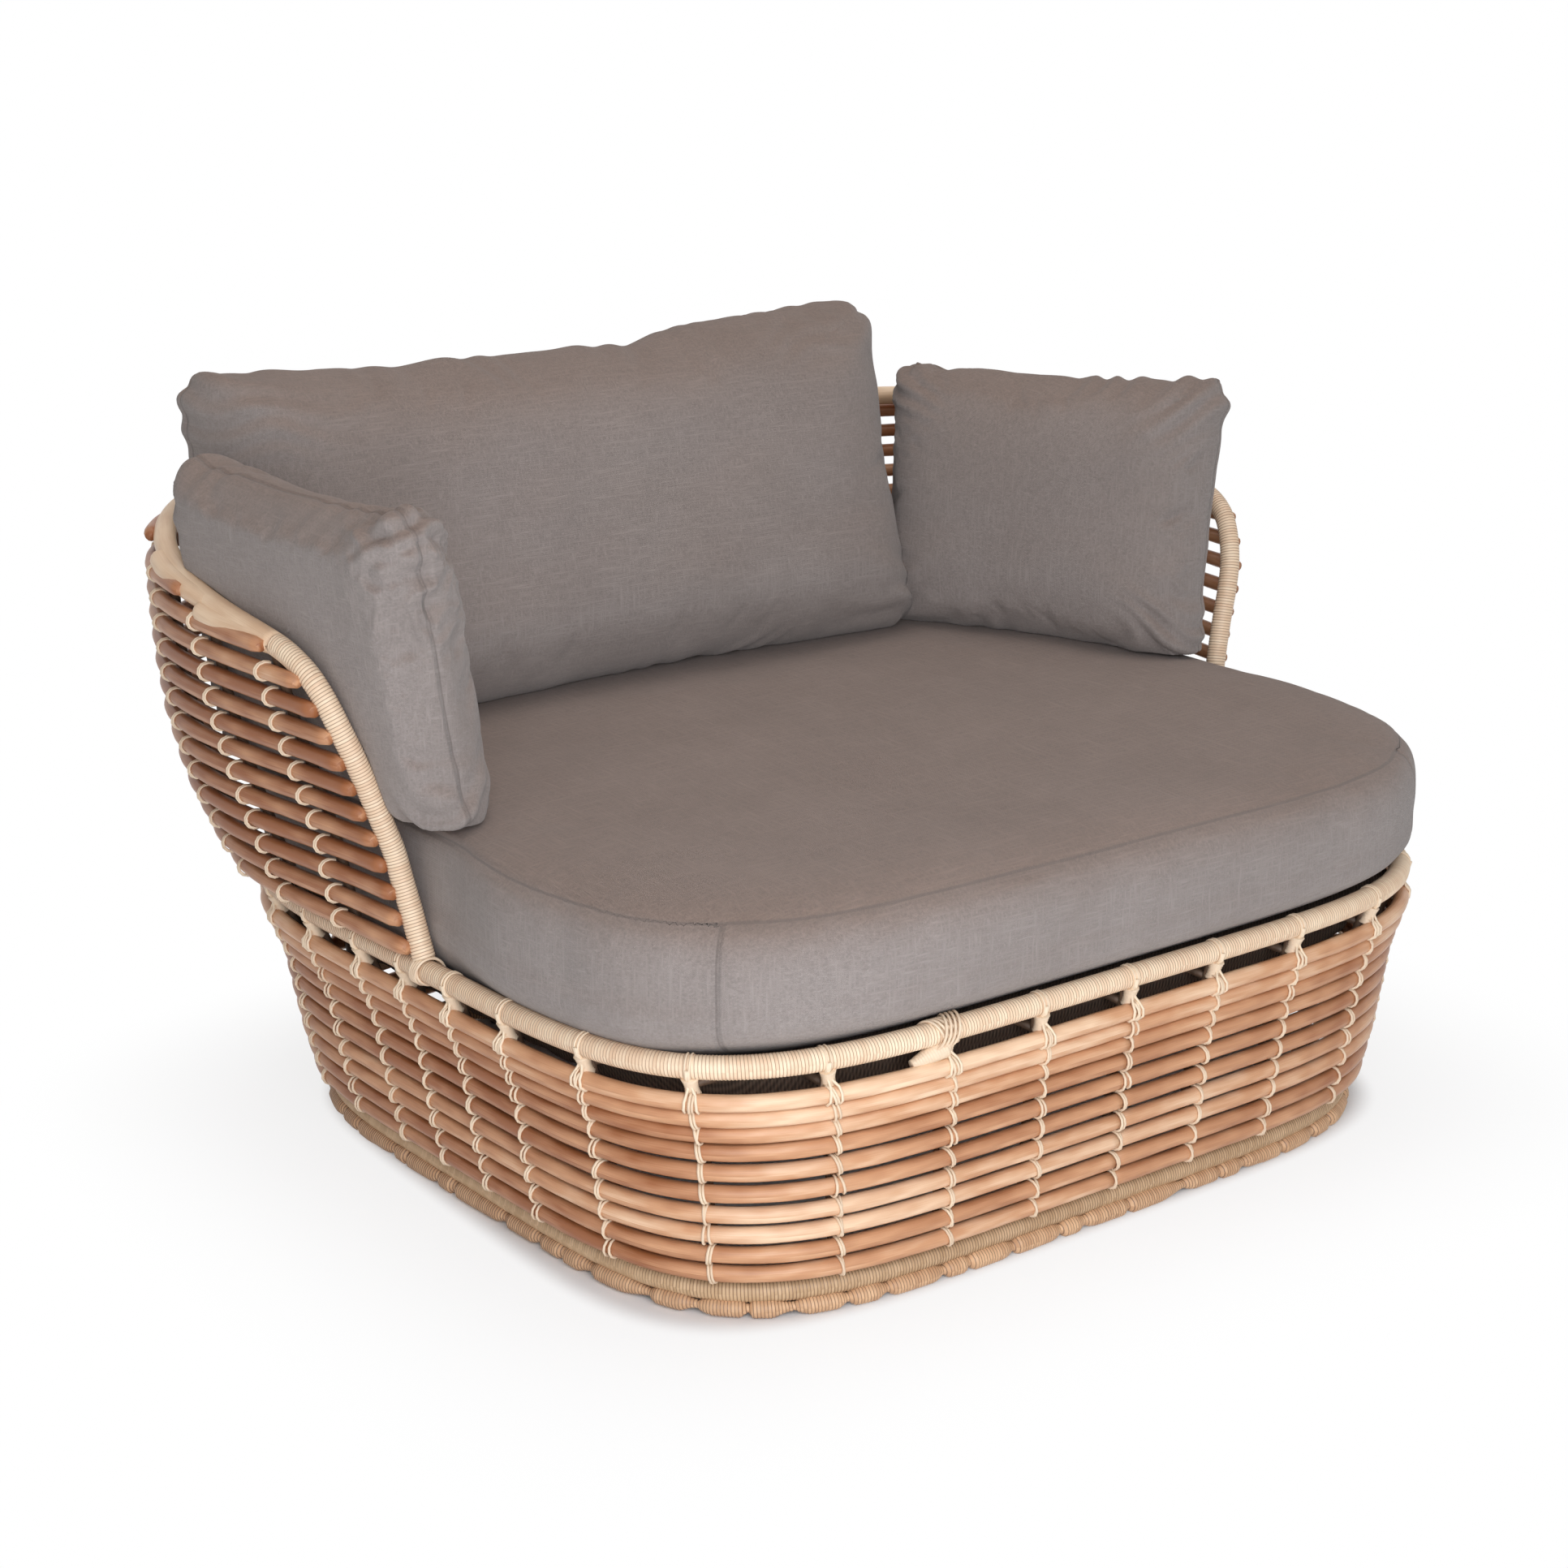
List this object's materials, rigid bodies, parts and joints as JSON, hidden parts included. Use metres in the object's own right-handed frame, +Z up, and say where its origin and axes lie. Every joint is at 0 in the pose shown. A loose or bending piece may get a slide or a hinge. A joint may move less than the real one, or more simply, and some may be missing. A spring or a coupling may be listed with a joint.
{
  "type": "outdoor armchair",
  "caption": "Wide low basket armchair of cane rods bound to a tube frame, sunk wrapped rim, sloping arm rail, seat cushion and loose pillows.",
  "frame": {"origin": "middle of the footprint, on the ground", "axes": "+X to the sitter's left along the wide side, +Y to the back, +Z up; the sitter faces -Y"},
  "size_m": [1.338, 1.0758, 0.8247],
  "materials": {
    "wrap": "close-wound straw-coloured outdoor cane over a tube",
    "cane": "satin honey-brown outdoor cane rod",
    "frame": "brown coated tube",
    "strap": "flat woven lattice panel",
    "fabric": "warm grey slub outdoor canvas",
    "glide": "dark moulded glide"
  },
  "bodies": {
    "frame": {"seat_rim": "wrap", "base_ring": "wrap", "skid_ring": "cane", "base_rod_01": "cane", "base_rod_02": "cane", "base_rod_03": "cane", "base_rod_04": "cane", "base_rod_05": "cane", "base_rod_06": "cane", "base_rod_07": "cane", "base_rod_08": "cane", "base_rod_09": "cane", "base_rod_10": "cane", "side_hoop_01": "frame", "side_hoop_02": "frame", "side_hoop_03": "frame", "side_hoop_04": "frame", "side_hoop_05": "frame", "side_hoop_06": "frame", "side_hoop_07": "frame", "side_hoop_08": "frame", "side_hoop_09": "frame", "side_hoop_10": "frame", "long_hoop_01": "frame", "long_hoop_02": "frame", "long_hoop_03": "frame", "long_hoop_04": "frame", "long_hoop_05": "frame", "long_hoop_06": "frame", "long_hoop_07": "frame", "seat_deck": "strap", "glide_right_1": "glide", "glide_left_1": "glide", "glide_right_2": "glide", "glide_left_2": "glide", "glide_right_3": "glide", "glide_left_3": "glide", "back_frame": "wrap", "wall_rod_01": "cane", "wall_rod_02": "cane", "wall_rod_03": "cane", "wall_rod_04": "cane", "wall_rod_05": "cane", "wall_rod_06": "cane", "wall_rod_07": "cane", "wall_rod_08": "cane", "wall_rod_09": "cane", "wall_rod_10": "cane", "wall_rod_11": "cane", "wall_rod_12": "cane", "wall_rod_13": "cane", "wall_rod_14": "cane"},
    "seat": {"seat_cushion": "fabric"},
    "back_pillow": {"back_cushion": "fabric"},
    "left_pillow": {"arm_cushion_left": "fabric"},
    "right_pillow": {"arm_cushion_right": "fabric"}
  },
  "joints": [
    {"name": "seat_lift", "type": "slide", "parent": "frame", "child": "seat", "axis": [0, 0, 1], "range_m": [0, 0.5]},
    {"name": "back_pillow_lift", "type": "slide", "parent": "seat", "child": "back_pillow", "axis": [0, 0, 1], "range_m": [0, 0.5]},
    {"name": "left_pillow_lift", "type": "slide", "parent": "seat", "child": "left_pillow", "axis": [0, 0, 1], "range_m": [0, 0.5]},
    {"name": "right_pillow_lift", "type": "slide", "parent": "seat", "child": "right_pillow", "axis": [0, 0, 1], "range_m": [0, 0.5]}
  ]
}
